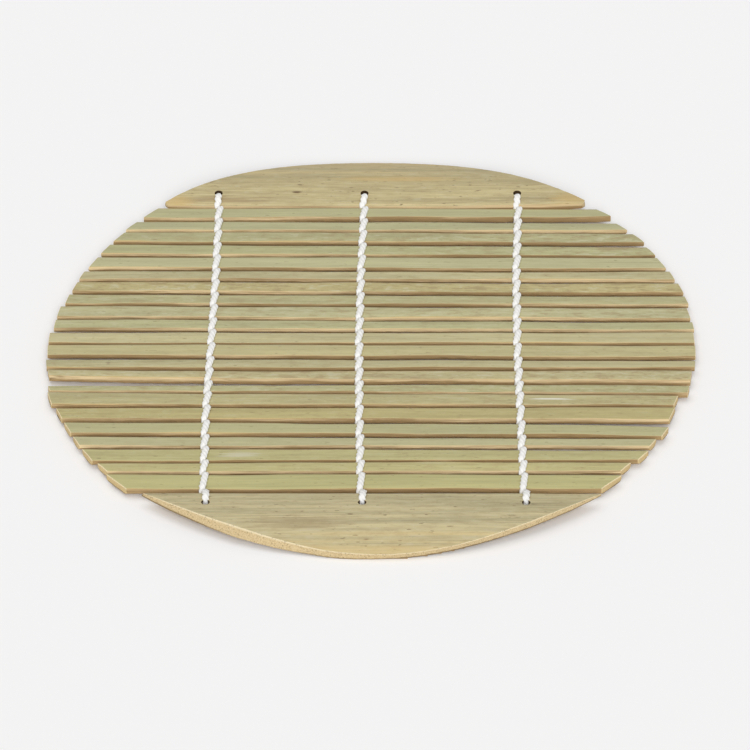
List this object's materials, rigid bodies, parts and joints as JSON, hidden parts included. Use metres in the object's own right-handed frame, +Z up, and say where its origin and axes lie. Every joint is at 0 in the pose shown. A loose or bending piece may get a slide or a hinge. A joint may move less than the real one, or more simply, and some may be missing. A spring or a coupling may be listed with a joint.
{
  "type": "rolling mat",
  "caption": "Round rolling mat of split bamboo slats between two arched end segments, tied by twined cotton cords, so it rolls up either way.",
  "frame": {"origin": "middle of the mat's underside, on the surface that it lies on", "axes": "+X along the slats to the right, +Y to the rear, away from the user, +Z up, with the green side of the bamboo up"},
  "size_m": [0.1952, 0.195, 0.0061],
  "materials": {
    "bamboo": "satin green-skinned bamboo, split and dried",
    "bamboo_end": "satin culm wall, green outside and pale tan on its cut faces",
    "cotton_cord": "matt white twisted cotton"
  },
  "bodies": {
    "rear_end": {"rear_end_segment": "bamboo_end", "rear_end_stitches": "cotton_cord"},
    "slat_01": {"slat_01": "bamboo", "slat_01_stitches": "cotton_cord"},
    "slat_02": {"slat_02": "bamboo", "slat_02_stitches": "cotton_cord"},
    "slat_03": {"slat_03": "bamboo", "slat_03_stitches": "cotton_cord"},
    "slat_04": {"slat_04": "bamboo", "slat_04_stitches": "cotton_cord"},
    "slat_05": {"slat_05": "bamboo", "slat_05_stitches": "cotton_cord"},
    "slat_06": {"slat_06": "bamboo", "slat_06_stitches": "cotton_cord"},
    "slat_07": {"slat_07": "bamboo", "slat_07_stitches": "cotton_cord"},
    "slat_08": {"slat_08": "bamboo", "slat_08_stitches": "cotton_cord"},
    "slat_09": {"slat_09": "bamboo", "slat_09_stitches": "cotton_cord"},
    "slat_10": {"slat_10": "bamboo", "slat_10_stitches": "cotton_cord"},
    "slat_11": {"slat_11": "bamboo", "slat_11_stitches": "cotton_cord"},
    "slat_12": {"slat_12": "bamboo", "slat_12_stitches": "cotton_cord"},
    "slat_13": {"slat_13": "bamboo", "slat_13_stitches": "cotton_cord"},
    "slat_14": {"slat_14": "bamboo", "slat_14_stitches": "cotton_cord"},
    "slat_15": {"slat_15": "bamboo", "slat_15_stitches": "cotton_cord"},
    "slat_16": {"slat_16": "bamboo", "slat_16_stitches": "cotton_cord"},
    "slat_17": {"slat_17": "bamboo", "slat_17_stitches": "cotton_cord"},
    "slat_18": {"slat_18": "bamboo", "slat_18_stitches": "cotton_cord"},
    "slat_19": {"slat_19": "bamboo", "slat_19_stitches": "cotton_cord"},
    "slat_20": {"slat_20": "bamboo", "slat_20_stitches": "cotton_cord"},
    "slat_21": {"slat_21": "bamboo", "slat_21_stitches": "cotton_cord"},
    "slat_22": {"slat_22": "bamboo", "slat_22_stitches": "cotton_cord"},
    "front_end": {"front_end_segment": "bamboo_end", "front_end_stitches": "cotton_cord", "knot_left": "cotton_cord", "knot_middle": "cotton_cord", "knot_right": "cotton_cord"}
  },
  "joints": [
    {"name": "gap_01", "type": "hinge", "parent": "slat_01", "child": "rear_end", "pos_m": [0, 0.07138, 0.00235], "axis": [1, 0, 0], "range_deg": [-34, 34]},
    {"name": "gap_02", "type": "hinge", "parent": "slat_02", "child": "slat_01", "pos_m": [0, 0.06479, 0.00235], "axis": [1, 0, 0], "range_deg": [-12, 12]},
    {"name": "gap_03", "type": "hinge", "parent": "slat_03", "child": "slat_02", "pos_m": [0, 0.05873, 0.00235], "axis": [1, 0, 0], "range_deg": [-12.35, 12.35]},
    {"name": "gap_04", "type": "hinge", "parent": "slat_04", "child": "slat_03", "pos_m": [0, 0.0521, 0.00235], "axis": [1, 0, 0], "range_deg": [-12.7, 12.7]},
    {"name": "gap_05", "type": "hinge", "parent": "slat_05", "child": "slat_04", "pos_m": [0, 0.04583, 0.00235], "axis": [1, 0, 0], "range_deg": [-13.05, 13.05]},
    {"name": "gap_06", "type": "hinge", "parent": "slat_06", "child": "slat_05", "pos_m": [0, 0.03861, 0.00235], "axis": [1, 0, 0], "range_deg": [-13.4, 13.4]},
    {"name": "gap_07", "type": "hinge", "parent": "slat_07", "child": "slat_06", "pos_m": [0, 0.03292, 0.00235], "axis": [1, 0, 0], "range_deg": [-13.75, 13.75]},
    {"name": "gap_08", "type": "hinge", "parent": "slat_08", "child": "slat_07", "pos_m": [0, 0.02637, 0.00235], "axis": [1, 0, 0], "range_deg": [-14.1, 14.1]},
    {"name": "gap_09", "type": "hinge", "parent": "slat_09", "child": "slat_08", "pos_m": [0, 0.02027, 0.00235], "axis": [1, 0, 0], "range_deg": [-14.45, 14.45]},
    {"name": "gap_10", "type": "hinge", "parent": "slat_10", "child": "slat_09", "pos_m": [0, 0.01346, 0.00235], "axis": [1, 0, 0], "range_deg": [-14.8, 14.8]},
    {"name": "gap_11", "type": "hinge", "parent": "slat_11", "child": "slat_10", "pos_m": [0, 0.00769, 0.00235], "axis": [1, 0, 0], "range_deg": [-15.15, 15.15]},
    {"name": "gap_12", "type": "hinge", "parent": "slat_12", "child": "slat_11", "pos_m": [0, 0.00093, 0.00235], "axis": [1, 0, 0], "range_deg": [-15.5, 15.5]},
    {"name": "gap_13", "type": "hinge", "parent": "slat_12", "child": "slat_13", "pos_m": [0, -0.0062, 0.00235], "axis": [-1, 0, 0], "range_deg": [-15.85, 15.85]},
    {"name": "gap_14", "type": "hinge", "parent": "slat_13", "child": "slat_14", "pos_m": [0, -0.01175, 0.00235], "axis": [-1, 0, 0], "range_deg": [-16.2, 16.2]},
    {"name": "gap_15", "type": "hinge", "parent": "slat_14", "child": "slat_15", "pos_m": [0, -0.01804, 0.00235], "axis": [-1, 0, 0], "range_deg": [-16.55, 16.55]},
    {"name": "gap_16", "type": "hinge", "parent": "slat_15", "child": "slat_16", "pos_m": [0, -0.02341, 0.00235], "axis": [-1, 0, 0], "range_deg": [-16.9, 16.9]},
    {"name": "gap_17", "type": "hinge", "parent": "slat_16", "child": "slat_17", "pos_m": [0, -0.02984, 0.00235], "axis": [-1, 0, 0], "range_deg": [-17.25, 17.25]},
    {"name": "gap_18", "type": "hinge", "parent": "slat_17", "child": "slat_18", "pos_m": [0, -0.03717, 0.00235], "axis": [-1, 0, 0], "range_deg": [-17.6, 17.6]},
    {"name": "gap_19", "type": "hinge", "parent": "slat_18", "child": "slat_19", "pos_m": [0, -0.04418, 0.00235], "axis": [-1, 0, 0], "range_deg": [-17.95, 17.95]},
    {"name": "gap_20", "type": "hinge", "parent": "slat_19", "child": "slat_20", "pos_m": [0, -0.04986, 0.00235], "axis": [-1, 0, 0], "range_deg": [-18.3, 18.3]},
    {"name": "gap_21", "type": "hinge", "parent": "slat_20", "child": "slat_21", "pos_m": [0, -0.05644, 0.00235], "axis": [-1, 0, 0], "range_deg": [-18.65, 18.65]},
    {"name": "gap_22", "type": "hinge", "parent": "slat_21", "child": "slat_22", "pos_m": [0, -0.06183, 0.00235], "axis": [-1, 0, 0], "range_deg": [-19, 19]},
    {"name": "gap_23", "type": "hinge", "parent": "slat_22", "child": "front_end", "pos_m": [0, -0.07067, 0.00235], "axis": [-1, 0, 0], "range_deg": [-55, 55]}
  ]
}
